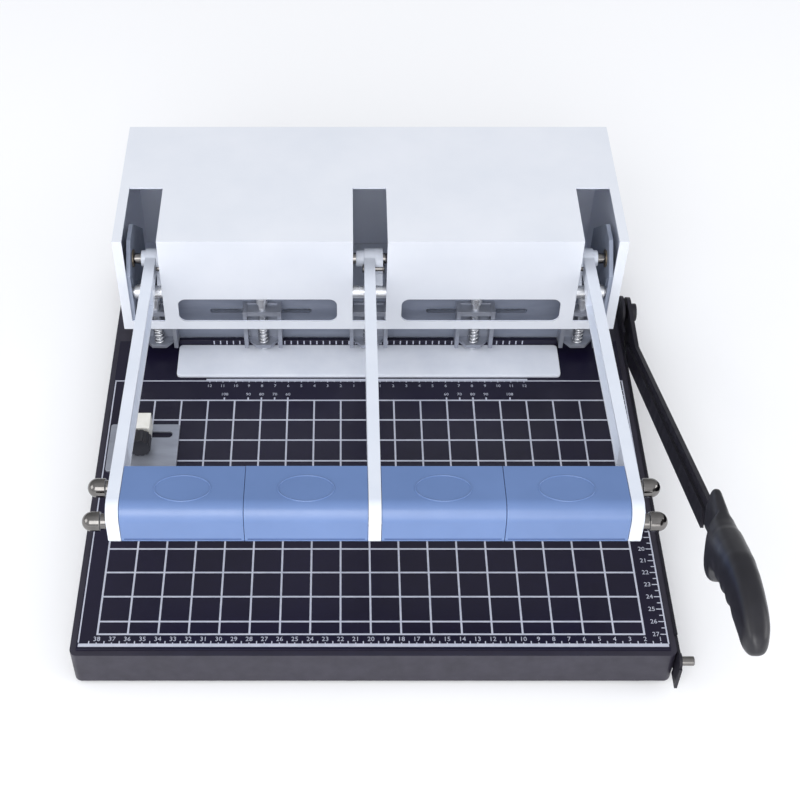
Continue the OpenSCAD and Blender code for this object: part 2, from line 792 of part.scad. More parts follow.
module trimmer_arm() color("#1f1e26") difference() {
    swung() {
        side_plate(trim_x, trim_t) {
            tang = trim_len + tang_l;
            circle(trim_tail);
            polygon([[trim_tail, -arm_low], [trim_tail, 0], [-trim_tail / 2, 0.85 * trim_tail],
                [-4 * trim_tail, trim_h - arm_low], [-tang, trim_h - arm_low], [-tang, -arm_low]]);
        }
    }
    x_bar(trim_x - 1, trim_x + trim_t + 1, trim_y, trim_z, bolt_d + 2 * run_fit);
    knife_screw_places() screw_hole();
}

module knife_screw_places() {
    first = knife_heel + knife_screw_in;
    pitch = (trim_len - knife_toe - knife_screw_in - first) / (knife_screws_n - 1);
    swung() for (i = [0 : knife_screws_n - 1])
        translate([trim_x + trim_t, -first - i * pitch, knife_lap / 2 - arm_low]) rotate([0, 90, 0])
            children();
}

module upper_knife() color("#9fa2a8") difference() {
    swung() translate([knife_x, -trim_len + knife_toe, -arm_low - knife_drop])
        cube([knife_t, trim_len - knife_toe - knife_heel, knife_drop + knife_lap]);
    knife_screw_places() screw_hole();
}

module knife_screws() color("#77777d") knife_screw_places() pan_screw(screw_d, trim_t + knife_t);

// Grip of the handle, drawn along -Y from its guard, with finger grooves below
module handle_outline() {
    end_r = 16;
    guard_r = 11;
    groove_r = 8;
    top = -trim_drop + 13;
    low = -trim_drop - 19;
    back = -trim_len - handle_neck;
    end = -trim_len - handle_l + end_r;
    difference() {
        union() {
            translate([end, top - end_r]) circle(end_r);
            translate([end, low]) square([back - end, top - low]);
            translate([back - guard_r, low + 6]) circle(guard_r);
        }
        for (i = [0 : 3]) translate([back - 2.5 * guard_r - 15 * i, low - groove_r + 2.5]) circle(groove_r);
    }
}

// Thin neck of the handle round the end of the arm, with an ear on top
module handle_neck_outline() {
    ear_r = 6;
    translate([-trim_len - handle_neck - 1, -collar_low]) square([handle_neck + 1, collar_low - ear_r]);
    translate([-trim_len - handle_neck - 1, -ear_r - eps]) square([handle_neck + 1 - ear_r, 2 * ear_r - 5]);
    translate([-trim_len - ear_r, -ear_r]) circle(ear_r);
}

module trimmer_handle() color("#1b1b20") difference() {
    swung() {
        side_plate(trim_x + (trim_t - handle_w) / 2, handle_w) handle_outline();
        side_plate(knife_x, knife_t + 2 * trim_t) handle_neck_outline();
    }
    swung() translate([trim_x - run_fit, -trim_len - tang_l - run_fit, -arm_low - run_fit])
        cube([trim_t + 2 * run_fit, 2 * tang_l, trim_h + 2 * run_fit]);
}

module stop_bracket() color("#2b2b30") {
    difference() {
        side_plate(side_x, knife_t) {
            translate([front_y, stop_z - 17]) square([stop_plate_l, 17 + stop_d / 2]);
            translate([front_y - stop_lug, stop_z - 22]) square([stop_lug + 3, 22]);
            translate([stop_y, stop_z]) circle(stop_d / 2 + 2.5);
        }
        side_screw_places() screw_hole();
    }
    x_bar(side_x, trim_x + 2 * trim_t, stop_y, stop_z, stop_d);
}

// Side stop
module side_stop_plate() color("#8f979b") difference() {
    translate([plate_x + stop_w / 2, plate_y + stop_depth / 2, board_top])
        rounded_plate(stop_w, stop_depth, stop_t, 2);
    translate([0, 0, board_top - 1]) linear_extrude(stop_t + 2)
        slot_2d([plate_x + plate_slot_in, plate_slot_y], [plate_x + stop_w - plate_slot_in, plate_slot_y],
            plate_slot_w);
}

module side_stop_block() color("#e6e5df") difference() {
    translate([block_x - block_w / 2, plate_slot_y - block_d / 2, block_z])
        cube([block_w, block_d, block_h]);
    translate([block_x, plate_slot_y - block_d, knob_z]) rotate([-90, 0, 0])
        cylinder(d = screw_d + 2 * run_fit, h = 2 * block_d);
}

module side_stop_pins() color("#b8bac0")
    for (dx = [-pin_x, pin_x]) translate([block_x + dx, plate_slot_y, board_top])
        cylinder(d = plate_slot_w - 2 * air, h = block_z - board_top);

module clamp_knob() color("#1b1b20") {
    translate([block_x, knob_y, knob_z]) rotate([90, 0, 0]) difference() {
        cylinder(d = knob_d, h = knob_t);
        for (a = [0 : 30 : 330]) rotate(a) translate([knob_d / 2 + knob_rib / 4, 0, -1])
            cylinder(d = knob_rib, h = knob_t + 2);
    }
    translate([block_x, knob_y + neck_knob + block_d, knob_z]) rotate([90, 0, 0])
        cylinder(d = screw_d, h = block_d + neck_knob + eps);
}

base_tray();
rubber_feet();
board_panel();
cutting_pad();
fence_strip();
hood();
hood_screws();
left_cheek();
right_cheek();
cheek_screws();
head_rail();
rail_brackets();
shaft_bushes();
lever_shaft();
left_arm();
centre_arm();
right_arm();
left_cam();
centre_cam();
right_cam();
cam_rivets();
front_grip_rod();
rear_grip_rod();
acorn_nuts();
far_left_grip();
left_grip();
right_grip();
far_right_grip();
press_bar();
bar_collars();
return_posts();
left_post_bracket();
right_post_bracket();
left_return_spring();
right_return_spring();
left_head();
centre_head();
right_head();
left_lock_screws();
centre_lock_screws();
right_lock_screws();
left_punch();
centre_punch();
right_punch();
left_punch_spring();
centre_punch_spring();
right_punch_spring();
bed_knife();
side_screws();
pivot_bracket();
pivot_bolt();
trimmer_arm();
upper_knife();
knife_screws();
trimmer_handle();
stop_bracket();
side_stop_plate();
side_stop_block();
side_stop_pins();
clamp_knob();
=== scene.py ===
import json
import math
import bmesh
import bpy
from mathutils import Matrix, Vector


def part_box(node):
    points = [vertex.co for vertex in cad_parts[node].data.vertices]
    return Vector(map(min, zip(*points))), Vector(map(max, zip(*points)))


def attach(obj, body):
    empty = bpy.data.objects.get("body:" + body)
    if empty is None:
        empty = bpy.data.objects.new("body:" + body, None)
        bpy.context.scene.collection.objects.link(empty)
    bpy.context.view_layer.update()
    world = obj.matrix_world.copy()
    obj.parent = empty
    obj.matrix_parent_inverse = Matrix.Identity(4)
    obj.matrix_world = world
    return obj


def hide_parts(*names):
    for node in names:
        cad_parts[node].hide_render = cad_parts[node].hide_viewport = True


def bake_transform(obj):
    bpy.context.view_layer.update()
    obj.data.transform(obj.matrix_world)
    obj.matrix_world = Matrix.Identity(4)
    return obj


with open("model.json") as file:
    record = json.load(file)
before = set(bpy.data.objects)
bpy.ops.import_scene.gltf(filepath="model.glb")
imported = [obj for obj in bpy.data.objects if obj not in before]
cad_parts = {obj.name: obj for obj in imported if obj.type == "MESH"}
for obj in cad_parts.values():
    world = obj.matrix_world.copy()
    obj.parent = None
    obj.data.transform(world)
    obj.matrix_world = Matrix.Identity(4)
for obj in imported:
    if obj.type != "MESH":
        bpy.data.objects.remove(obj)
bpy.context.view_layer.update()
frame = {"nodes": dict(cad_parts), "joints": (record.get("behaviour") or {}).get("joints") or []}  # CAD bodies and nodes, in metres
nodes = frame["nodes"]
scene = bpy.context.scene
mm = 0.001
print("frame loaded,", len(nodes), "nodes")

# camera, floor and light
cameraSet = {
    "lens": 66.05,  # mm on a 36 mm sensor
    "sensor": 36.0,
    "shiftX": 0.0721,  # the picture is cut off centre
    "place": (-20.2, -733.5, 846.9),  # mm
    "tilt": 42.86,  # degrees up from straight down
}
studio = {
    "paper": "#fbfbfc",
    "paperRough": 0.9,
    "floorReach": 6.0,  # metres from the middle to each edge
    "worldColour": "#f5f7fb",
    "worldFront": 1.2,  # the room is brighter before the machine than behind it
    "worldBack": 0.4,
    # name, place, size and watts of each soft box, in metres, all aimed at the middle of the machine
    "boxes": (
        ("topBox", (-0.25, -0.15, 1.9), 1.5, 1.0),
        ("frontBox", (-0.4, -1.8, 1.5), 1.4, 21.0),
        ("lowBox", (0.2, -2.2, 0.45), 1.0, 6.0),
        ("rightBox", (1.8, -0.4, 0.8), 1.0, 8.0),
        ("leftBox", (-1.8, -0.5, 0.9), 1.0, 7.0),
    ),
    "aim": (0.0, 0.0, 0.06),
}


def linear(hexColour):  # sRGB hex to linear RGBA
    channels = [int(hexColour[i:i + 2], 16) / 255 for i in (1, 3, 5)]
    return [c / 12.92 if c <= 0.04045 else ((c + 0.055) / 1.055) ** 2.4 for c in channels] + [1.0]


def addNode(owner, kind, settings=None, links=None):  # a socket goes by its name or its number
    node = owner.node_tree.nodes.new(kind)
    for name, value in (settings or {}).items():
        if isinstance(name, int) or name in node.inputs:
            node.inputs[name].default_value = value
        else:
            setattr(node, name, value)
    for name, socket in (links or {}).items():
        owner.node_tree.links.new(socket, node.inputs[name])
    return node


def newPiece(name, shape, material, smooth=False):
    mesh = bpy.data.meshes.new(name)
    bmesh.ops.recalc_face_normals(shape, faces=shape.faces)
    shape.to_mesh(mesh)
    shape.free()
    piece = bpy.data.objects.new(name, mesh)
    scene.collection.objects.link(piece)
    mesh.materials.append(material)
    if smooth:
        for face in mesh.polygons:
            face.use_smooth = True
    return piece


def joinRings(shape, rings, closed=False):  # skin over rings of points, capped unless it runs round
    following = rings[1:] + rings[:1] if closed else rings[1:]
    for a, b in zip(rings, following):
        for j in range(len(a)):
            k = (j + 1) % len(a)
            shape.faces.new((a[j], b[j], b[k], a[k]))
    if not closed:
        shape.faces.new(rings[0])
        shape.faces.new(rings[-1])


def jointPlace(name):
    return Vector([joint["pos_m"] for joint in frame["joints"] if joint["name"] == name][0])


def makeCamera():
    data = bpy.data.cameras.new("photoCamera")
    data.sensor_width = cameraSet["sensor"]
    data.lens = cameraSet["lens"]
    data.shift_x = cameraSet["shiftX"]
    camera = bpy.data.objects.new("photoCamera", data)
    camera.location = [c * mm for c in cameraSet["place"]]
    camera.rotation_euler = (math.radians(cameraSet["tilt"]), 0, 0)
    scene.collection.objects.link(camera)
    scene.camera = camera


def makeRoom():
    scene.view_settings.view_transform = "Standard"
    world = bpy.data.worlds.new("softRoom")
    world.use_nodes = True
    back = world.node_tree.nodes["Background"]
    back.inputs["Color"].default_value = linear(studio["worldColour"])
    sky = addNode(world, "ShaderNodeTexCoord").outputs["Generated"]
    depth = addNode(world, "ShaderNodeSeparateXYZ", links={"Vector": sky}).outputs["Y"]
    span = {"From Min": -1.0, "From Max": 1.0,
            "To Min": studio["worldFront"], "To Max": studio["worldBack"]}
    fade = addNode(world, "ShaderNodeMapRange", span, {"Value": depth})
    world.node_tree.links.new(fade.outputs["Result"], back.inputs["Strength"])
    scene.world = world


def makeSoftBoxes():
    aim = Vector(studio["aim"])
    for name, place, size, watts in studio["boxes"]:
        lamp = bpy.data.lights.new(name, "AREA")
        lamp.shape = "SQUARE"
        lamp.size = size
        lamp.energy = watts
        box = bpy.data.objects.new(name, lamp)
        box.location = place
        box.rotation_euler = (aim - Vector(place)).to_track_quat("-Z", "Y").to_euler()
        scene.collection.objects.link(box)


def makeFloor():
    sheet = bmesh.new()
    bmesh.ops.create_grid(sheet, x_segments=1, y_segments=1, size=studio["floorReach"])
    paper = bpy.data.materials.new("backdropPaper")
    paper.use_nodes = True
    shader = paper.node_tree.nodes["Principled BSDF"]
    shader.inputs["Base Color"].default_value = linear(studio["paper"])
    shader.inputs["Roughness"].default_value = studio["paperRough"]
    floor = newPiece("studioFloor", sheet, paper)


makeCamera()
makeRoom()
makeSoftBoxes()
makeFloor()
print("camera and studio ready")

# what the patterns of all surfaces share
pattern = {
    "toneDetail": 4.0,
    "toneRough": 0.55,
    "toneSpots": (0.32, 0.68),  # where in the noise the two tones lie
    "smearSize": 9.0,  # mm, how broad the duller and the shinier patches are
    "smearDetail": 3.0,
    "smearRange": (0.3, 0.7),
    "grainDetail": 2.0,
}
plainLook = {"metal": 0.0, "coat": 0.0, "coatRough": 0.2, "shine": 0.5}  # unless a look says otherwise


# 1 on the faces that look into a folded sheet's hollow, 0 outside; it marks where the painted light goes
def innerFaces(material, place, node, wall):
    low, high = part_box(node)
    middle = (low + high) / 2
    reach = (high - low) / 2 - Vector((wall, wall, wall)) * mm / 2
    offset = addNode(material, "ShaderNodeVectorMath", {"operation": "SUBTRACT", 1: middle}, {0: place})
    far = addNode(material, "ShaderNodeVectorMath", {"operation": "ABSOLUTE"}, {0: offset.outputs[0]})
    past = addNode(material, "ShaderNodeVectorMath", {"operation": "SUBTRACT", 1: reach},
                   {0: far.outputs[0]})
    axes = addNode(material, "ShaderNodeSeparateXYZ", links={"Vector": past.outputs[0]}).outputs
    flat = addNode(material, "ShaderNodeMath", {"operation": "MAXIMUM"}, {0: axes["X"], 1: axes["Y"]})
    most = addNode(material, "ShaderNodeMath", {"operation": "MAXIMUM"}, {0: flat.outputs[0], 1: axes["Z"]})
    inner = addNode(material, "ShaderNodeMath", {"operation": "LESS_THAN", 1: 0.0}, {0: most.outputs[0]})
    return inner.outputs[0]


def addTone(material, look, place):  # two close tones in soft patches
    mottle = addNode(material, "ShaderNodeTexNoise",
                     {"Scale": 1 / (look["toneSize"] * mm), "Detail": pattern["toneDetail"],
                      "Roughness": pattern["toneRough"]}, {"Vector": place})
    ramp = addNode(material, "ShaderNodeValToRGB", links={"Fac": mottle.outputs["Fac"]})
    for stop, spot, tone in zip(ramp.color_ramp.elements, pattern["toneSpots"], look["tones"]):
        stop.position = spot
        stop.color = linear(tone)
    if "inside" not in look:
        return ramp.outputs["Color"]
    node, wall, tone = look["inside"]  # the inner faces get a lighter tone: painted light in the hollow
    share = innerFaces(material, place, node, wall)
    mix = addNode(material, "ShaderNodeMix", {"data_type": "RGBA", 7: linear(tone)},
                  {0: share, 6: ramp.outputs["Color"]})  # sockets 6 and 7 are its two colours
    return mix.outputs[2]


def addGloss(material, look, place):  # duller and shinier patches
    smear = addNode(material, "ShaderNodeTexNoise",
                    {"Scale": 1 / (pattern["smearSize"] * mm), "Detail": pattern["smearDetail"]},
                    {"Vector": place})
    low, high = pattern["smearRange"]
    shiny, dull = look["rough"]
    spread = addNode(material, "ShaderNodeMapRange",
                     {"From Min": low, "From Max": high, "To Min": shiny, "To Max": dull},
                     {"Value": smear.outputs["Fac"]})
    return spread.outputs["Result"]


def addGrain(material, look, place):  # each bump is a grain size and a height, in mm
    normal = None
    for size, height in look["bumps"]:
        grain = addNode(material, "ShaderNodeTexNoise",
                        {"Scale": 1 / (size * mm), "Detail": pattern["grainDetail"]}, {"Vector": place})
        links = {"Height": grain.outputs["Fac"]}
        if normal:
            links["Normal"] = normal
        bump = addNode(material, "ShaderNodeBump", {"Strength": 1.0, "Distance": height * mm}, links)
        normal = bump.outputs["Normal"]
    return normal


def makeSurface(name, ownLook):
    look = {**plainLook, **ownLook}
    material = bpy.data.materials.new(name)
    material.use_nodes = True
    shader = material.node_tree.nodes["Principled BSDF"]
    shader.inputs["Metallic"].default_value = look["metal"]
    shader.inputs["Coat Weight"].default_value = look["coat"]
    shader.inputs["Coat Roughness"].default_value = look["coatRough"]
    shader.inputs["Specular IOR Level"].default_value = look["shine"]
    shader.inputs["Base Color"].default_value = linear(look["tones"][0])
    if "ior" in look:
        shader.inputs["IOR"].default_value = look["ior"]
    place = addNode(material, "ShaderNodeTexCoord").outputs["Object"]
    if "stretch" in look:  # rolled and ground finishes run along one axis
        drawn = addNode(material, "ShaderNodeMapping", {"Scale": look["stretch"]}, {"Vector": place})
        place = drawn.outputs[0]
    join = material.node_tree.links.new
    join(addTone(material, look, place), shader.inputs["Base Color"])
    join(addGloss(material, look, place), shader.inputs["Roughness"])
    join(addGrain(material, look, place), shader.inputs["Normal"])
    return material


# each look starts from the real material and how its surface was made; tone sizes are in mm, and turning
# marks, wire drawing and grit finer than a pixel are drawn coarser than they are, so that they show
looks = {
    # powder-coated sheet steel: cool satin white, with a faint orange peel; its inner faces are toned
    # lighter and bluer, painted light in the hollow
    "powderCoatWhite": {"tones": ("#e1e4eb", "#dbdfe7"), "toneSize": 60, "rough": (0.36, 0.46),
                        "bumps": ((1.6, 0.02), (0.6, 0.006)), "coat": 0.1,
                        "inside": ("hood", 1.5, "#ecf1ff")},  # node, sheet in mm and the lighter tone painted on the inner faces as light
    # the same paint, a little bluer, on the lever's arms and cams and on the plate under the hood
    "powderCoatPaleBlue": {"tones": ("#dfe4ee", "#d8dee9"), "toneSize": 40, "rough": (0.3, 0.4),
                           "bumps": ((1.4, 0.02), (0.5, 0.006)), "coat": 0.15},
    # epoxy primer on the cheeks: blue-grey and dull
    "epoxyPrimer": {"tones": ("#a2aaba", "#969eaf"), "toneSize": 30, "rough": (0.45, 0.6),
                    "bumps": ((1.2, 0.015),)},
    # stove-enamelled tray: charcoal with a fine hammered grit
    "stoveEnamelCharcoal": {"tones": ("#2b2836", "#25222f"), "toneSize": 18, "rough": (0.38, 0.5),
                            "bumps": ((0.9, 0.03), (4.0, 0.03))},
    # screen-printed polyester film: near black with a violet cast, smooth and a little glossy
    "polyesterFilm": {"tones": ("#16122a", "#110d22"), "toneSize": 70, "rough": (0.3, 0.38), "shine": 0.35,
                      "bumps": ((2.5, 0.01), (14.0, 0.03))},
    # pale screen ink, matt and slightly uneven
    "screenInk": {"tones": ("#bcbfcc", "#aeb2c0"), "toneSize": 6, "rough": (0.5, 0.62),
                  "bumps": ((0.8, 0.01),)},
    # extruded PVC pad: soft grey-white with faint cut marks
    "pvcPad": {"tones": ("#dfe3ec", "#d5dae5"), "toneSize": 25, "rough": (0.45, 0.58),
               "bumps": ((1.2, 0.02), (6.0, 0.03))},
    # zinc-plated pressed steel: grey with rolling lines along X
    "zincPlate": {"tones": ("#a6aab5", "#9599a4"), "toneSize": 8, "rough": (0.34, 0.5), "metal": 0.6,
                  "stretch": (0.2, 1.0, 1.0), "bumps": ((0.7, 0.012),)},
    # phosphated pressed steel of the rail: blue-grey and dull
    "phosphatedSteel": {"tones": ("#888e9d", "#7a808f"), "toneSize": 8, "rough": (0.42, 0.56), "metal": 0.3,
                        "stretch": (0.2, 1.0, 1.0), "bumps": ((0.7, 0.012),)},
    # nickel-plated turned steel: warm grey, mirror-like, with fine turning marks
    "nickelPlate": {"tones": ("#84817f", "#706e6c"), "toneSize": 10, "rough": (0.06, 0.15), "metal": 1.0,
                    "bumps": ((0.5, 0.003),)},
    # drawn steel of the punches and bars: bright and a little soft
    "drawnSteel": {"tones": ("#e6e7ea", "#d6d8dc"), "toneSize": 6, "rough": (0.24, 0.36), "metal": 0.8,
                   "bumps": ((0.5, 0.004),)},
    # drawn spring wire: brighter than the nickel, with a soft gloss
    "springWire": {"tones": ("#dedfe1", "#cbccd0"), "toneSize": 3, "rough": (0.2, 0.34), "metal": 1.0,
                   "bumps": ((0.4, 0.004),)},
    # oil-soaked sintered bronze, gone brown-grey
    "sinteredBronze": {"tones": ("#8d8272", "#766c5f"), "toneSize": 2, "rough": (0.35, 0.5), "metal": 0.9,
                       "bumps": ((0.4, 0.02),)},
    # injection-moulded ABS: mid blue, satin with a fine spark texture
    "mouldedAbsBlue": {"tones": ("#5f7cb0", "#5976a9"), "toneSize": 45, "rough": (0.34, 0.44), "ior": 1.53,
                       "bumps": ((0.7, 0.012), (9.0, 0.03)), "coat": 0.8, "coatRough": 0.32},
    # the same ABS along the parting line, toned darker and duller: painted shade in the seam
    "mouldedAbsSeamPaintedShade": {"tones": ("#3f5788", "#394f7d"), "toneSize": 20, "rough": (0.5, 0.6), "ior": 1.53,
                       "bumps": ((0.5, 0.02),)},
    # black stove enamel on the trimmer's flat steel: near black, satin, slightly wavy
    "stoveEnamelBlack": {"tones": ("#1d1b26", "#17151e"), "toneSize": 14, "rough": (0.4, 0.54),
                         "bumps": ((0.8, 0.02), (5.0, 0.03)), "shine": 0.35},
    # glass-filled nylon: black, with a soft sheen on a grained skin
    "mouldedNylonBlack": {"tones": ("#18171f", "#121118"), "toneSize": 12, "rough": (0.3, 0.42),
                          "bumps": ((0.9, 0.03), (0.4, 0.012)), "ior": 1.53},
    # moulded acetal: warm white and waxy
    "acetalWhite": {"tones": ("#eceae4", "#e0ded6"), "toneSize": 8, "rough": (0.34, 0.44),
                    "bumps": ((0.8, 0.01),)},
    # moulded rubber feet: black and matt
    "mouldedRubber": {"tones": ("#1c1b1e", "#141416"), "toneSize": 5, "rough": (0.7, 0.85),
                      "bumps": ((0.6, 0.03),)},
    # oil-blackened tool steel of the knives: near black, with grinding lines across the edge
    "blackenedSteel": {"tones": ("#2b2932", "#201f27"), "toneSize": 4, "rough": (0.34, 0.48), "metal": 0.5,
                       "shine": 0.4, "stretch": (1.0, 1.0, 0.15), "bumps": ((0.5, 0.008),)},
}
surfaces = {name: makeSurface(name, look) for name, look in looks.items()}
print("materials made,", len(surfaces))

# CAD nodes: which finish each one has and how far its edges are rounded, in mm
nodeFinish = {
    "powderCoatWhite": {"hood": 1.2},
    "powderCoatPaleBlue": {"left_arm": 0.9, "centre_arm": 0.9, "right_arm": 0.9, "left_cam": 0.6,
                           "centre_cam": 0.6, "right_cam": 0.6},
    "epoxyPrimer": {"left_cheek": 0.5, "right_cheek": 0.5},
    "stoveEnamelCharcoal": {"base_tray": 1.0},
    "polyesterFilm": {"board_panel": 0.2, "fence_strip": 0.3},
    "pvcPad": {"cutting_pad": 0.7},
    "phosphatedSteel": {"head_rail": 0.5, "rail_brackets": 0.5},
    "zincPlate": {"left_post_bracket": 0.5, "right_post_bracket": 0.5, "left_head": 0.5, "centre_head": 0.5,
                  "right_head": 0.5, "hood_screws": 0.4, "cheek_screws": 0.4, "side_stop_plate": 0.3,
                  "side_stop_pins": 0.2},
    "nickelPlate": {"lever_shaft": 0.3, "cam_rivets": 0.4, "front_grip_rod": 0.4, "rear_grip_rod": 0.4,
                    "acorn_nuts": 0.5},
    "drawnSteel": {"press_bar": 0.4, "bar_collars": 0.15, "return_posts": 0.4, "left_punch": 0.3,
                   "centre_punch": 0.3, "right_punch": 0.3, "left_lock_screws": 0.4,
                   "centre_lock_screws": 0.4, "right_lock_screws": 0.4},
    "sinteredBronze": {"shaft_bushes": 0.2},
    "mouldedAbsBlue": {"far_left_grip": 2.2, "left_grip": 2.2, "right_grip": 2.2, "far_right_grip": 2.2},
    "stoveEnamelBlack": {"pivot_bracket": 0.3, "pivot_bolt": 0.5, "trimmer_arm": 0.5, "stop_bracket": 0.3},
    "blackenedSteel": {"bed_knife": 0.2, "upper_knife": 0.2, "side_screws": 0.2, "knife_screws": 0.4},
    "mouldedNylonBlack": {"clamp_knob": 0.4},
    "acetalWhite": {"side_stop_block": 0.9},
    "mouldedRubber": {"rubber_feet": 0.8},
}
edges = {"weld": 0.002, "flatAngle": 0.8, "sharpAngle": 38.0, "segments": 3}  # mm and degrees


def roundEdges(piece, width):
    weld = piece.modifiers.new("weld", "WELD")
    weld.merge_threshold = edges["weld"] * mm
    flat = piece.modifiers.new("flats", "DECIMATE")  # one face for each flat, so that light runs evenly
    flat.decimate_type = "DISSOLVE"
    flat.angle_limit = math.radians(edges["flatAngle"])
    bevel = piece.modifiers.new("edges", "BEVEL")
    bevel.width = width * mm
    bevel.segments = edges["segments"]
    bevel.limit_method = "ANGLE"
    bevel.angle_limit = math.radians(edges["sharpAngle"])
    bevel.face_strength_mode = "FSTR_ALL"
    normals = piece.modifiers.new("normals", "WEIGHTED_NORMAL")
    normals.use_face_influence = True


for finishName, members in nodeFinish.items():
    for node, width in members.items():
        nodes[node].data.materials.clear()
        nodes[node].data.materials.append(surfaces[finishName])
        roundEdges(nodes[node], width)
print("CAD nodes finished")

# painted plate on the tray under the hood, seen through the lever slots, in mm
floorPlate = {"sideGap": 1.0, "frontGap": 1.5, "backGap": 2.0, "thick": 0.9, "corner": 6.0,
              "cornerSteps": 6}


def makeFloorPlate():
    radius = floorPlate["corner"] * mm
    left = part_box("left_cheek")[1].x + floorPlate["sideGap"] * mm + radius  # middles of the round corners
    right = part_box("right_cheek")[0].x - floorPlate["sideGap"] * mm - radius
    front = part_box("board_panel")[1].y + floorPlate["frontGap"] * mm + radius
    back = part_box("hood")[1].y - floorPlate["backGap"] * mm - radius
    rim = []
    for turn, (x, y) in enumerate(((right, back), (left, back), (left, front), (right, front))):
        for i in range(floorPlate["cornerSteps"] + 1):
            angle = math.radians(90) * (turn + i / floorPlate["cornerSteps"])
            rim.append((x + radius * math.cos(angle), y + radius * math.sin(angle)))
    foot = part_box("base_tray")[1].z
    top = foot + floorPlate["thick"] * mm
    shape = bmesh.new()
    joinRings(shape, [[shape.verts.new((x, y, z)) for x, y in rim] for z in (foot, top)])
    piece = newPiece("floorPlate", shape, surfaces["powderCoatPaleBlue"])
    roundEdges(piece, floorPlate["thick"] / 3)
    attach(piece, "base")


makeFloorPlate()
print("floor plate laid")

# printing on the panel: places are mm right of the print's middle line and mm behind its zero line, the
# back of the fence strip, so that what lies before it is negative
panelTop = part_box("board_panel")[1].z
fenceLow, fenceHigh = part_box("fence_strip")
centimetre = 10
halfCentimetre = 5
printing = {
    "centreX": -1.4,  # the print's middle line, mm right of the machine's middle
    "middle": 20,  # the centimetre that lies on the middle line
    "ink": 0.05,  # how far the ink stands above the film
    "thinLine": 0.7,
    "tickLift": 1.2,  # times the ink, so that ticks don't flicker in the lines they cross
    "halves": range(-24, 25),  # half centimetres to both sides of the middle
    "spacings": (60, 70, 80, 90, 108),  # hole spacings, to each side of the middle line
}


def addSlab(shape, low, high):
    corners = bmesh.ops.create_cube(shape, size=1)["verts"]
    middle = [(a + b) / 2 for a, b in zip(low, high)]
    size = [b - a for a, b in zip(low, high)]
    place = Matrix.Translation(middle) @ Matrix.Diagonal((*size, 1))
    bmesh.ops.transform(shape, matrix=place, verts=corners)


def boardX(millimetres):
    return (millimetres + printing["centreX"]) * mm


def boardY(millimetres):
    return fenceHigh.y + millimetres * mm


def centimetreX(n):
    return (printing["middle"] - n) * centimetre


def addLine(shape, x1, y1, x2, y2, width, lift=1.0):
    half = width / 2
    top = panelTop + printing["ink"] * lift * mm
    addSlab(shape, (boardX(min(x1, x2) - half), boardY(min(y1, y2) - half), panelTop),
            (boardX(max(x1, x2) + half), boardY(max(y1, y2) + half), top))


grid = {
    "line": 1.25,
    "columns": range(2, 39, 2),  # centimetres, counted from the right
    "rows": (6, 8, 10, 12, 14, 16, 18, 20, 22, 24, 26, 27),  # centimetres before the zero line
    "rowLift": 1.3,  # times the ink, so that rows don't flicker in the columns
}


def makeGrid():
    shape = bmesh.new()
    left, right = centimetreX(grid["columns"][-1]), centimetreX(grid["columns"][0])
    back, front = -centimetre * grid["rows"][0], -centimetre * grid["rows"][-1]
    for n in grid["columns"]:
        addLine(shape, centimetreX(n), back, centimetreX(n), front, grid["line"])
    for n in grid["rows"]:
        addLine(shape, left, -centimetre * n, right, -centimetre * n, grid["line"], grid["rowLift"])
    return newPiece("gridLines", shape, surfaces["screenInk"])


rulers = {
    "front": -278.5,  # the lines along the four edges
    "side": 194.9,
    "top": -39.8,
    "left": -191.8,
    "band": 2.5,  # the front ruler's broad line
    "line": 1.0,
    "leftLine": 0.9,
    "cornerGap": 1.2,  # how far the left and the top line stop short
    "thickLine": 1.5,  # line over the middle ruler
    "thickUp": 1.4,
    "thickReach": 122.0,
    "frontHalves": range(1, 78),  # half centimetres, counted from the right
    "sideHalves": range(10, 55),  # half centimetres before the zero line
    "frontTicks": (0.5, 1.6),  # tick lengths at whole and at half centimetres
    "sideTicks": (3.4, 2.0),
    "middleTicks": (1.6, 1.0),
    "sideTickIn": 0.6,
    "middleTickUp": 0.4,
    "spacingTick": (-57.6, -58.8),
    "spacingLine": 1.1,
}


def addFrameLines(shape):
    front, side, top, left = [rulers[edge] for edge in ("front", "side", "top", "left")]
    band, line, gap = rulers["band"], rulers["line"], rulers["cornerGap"]
    addLine(shape, left + band / 2, front, side - band / 2, front, band)
    addLine(shape, side, front + band, side, top, line)
    addLine(shape, left, front + band, left, top - gap, rulers["leftLine"])
    addLine(shape, left, top, side - gap, top, line)
    thick = top + rulers["thickUp"]
    addLine(shape, -rulers["thickReach"], thick, rulers["thickReach"], thick, rulers["thickLine"])


def makeRulers():
    shape = bmesh.new()
    addFrameLines(shape)
    thin, lift = printing["thinLine"], printing["tickLift"]
    foot = rulers["front"] + rulers["band"] / 2
    for half in rulers["frontHalves"]:
        x = centimetreX(half / 2)
        addLine(shape, x, foot, x, foot + rulers["frontTicks"][half % 2], thin, lift)
    end = rulers["side"] - rulers["sideTickIn"]
    for half in rulers["sideHalves"]:
        y = -halfCentimetre * half
        addLine(shape, end - rulers["sideTicks"][half % 2], y, end, y, thin, lift)
    head = rulers["top"] + rulers["middleTickUp"]
    for half in printing["halves"]:
        x = halfCentimetre * half
        addLine(shape, x, head - rulers["middleTicks"][half % 2], x, head, thin, lift)
    above, below = rulers["spacingTick"]
    for side in (-1, 1):
        for spacing in printing["spacings"]:
            addLine(shape, side * spacing, above, side * spacing, below, rulers["spacingLine"], lift)
    return newPiece("rulerLines", shape, surfaces["screenInk"])


figures = {
    "tall": 3.3,
    "small": 2.6,
    "fontShare": 0.69,  # the font's figures are this share of its size
    "curveSteps": 2,
    "front": range(1, 39),  # the centimetres that have a figure on each ruler
    "side": range(5, 28),
    "middle": range(-12, 13),
    "frontRow": -273.8,
    "sideColumn": 187.6,
    "middleRow": -45.0,
    "spacingRow": -53.8,
}


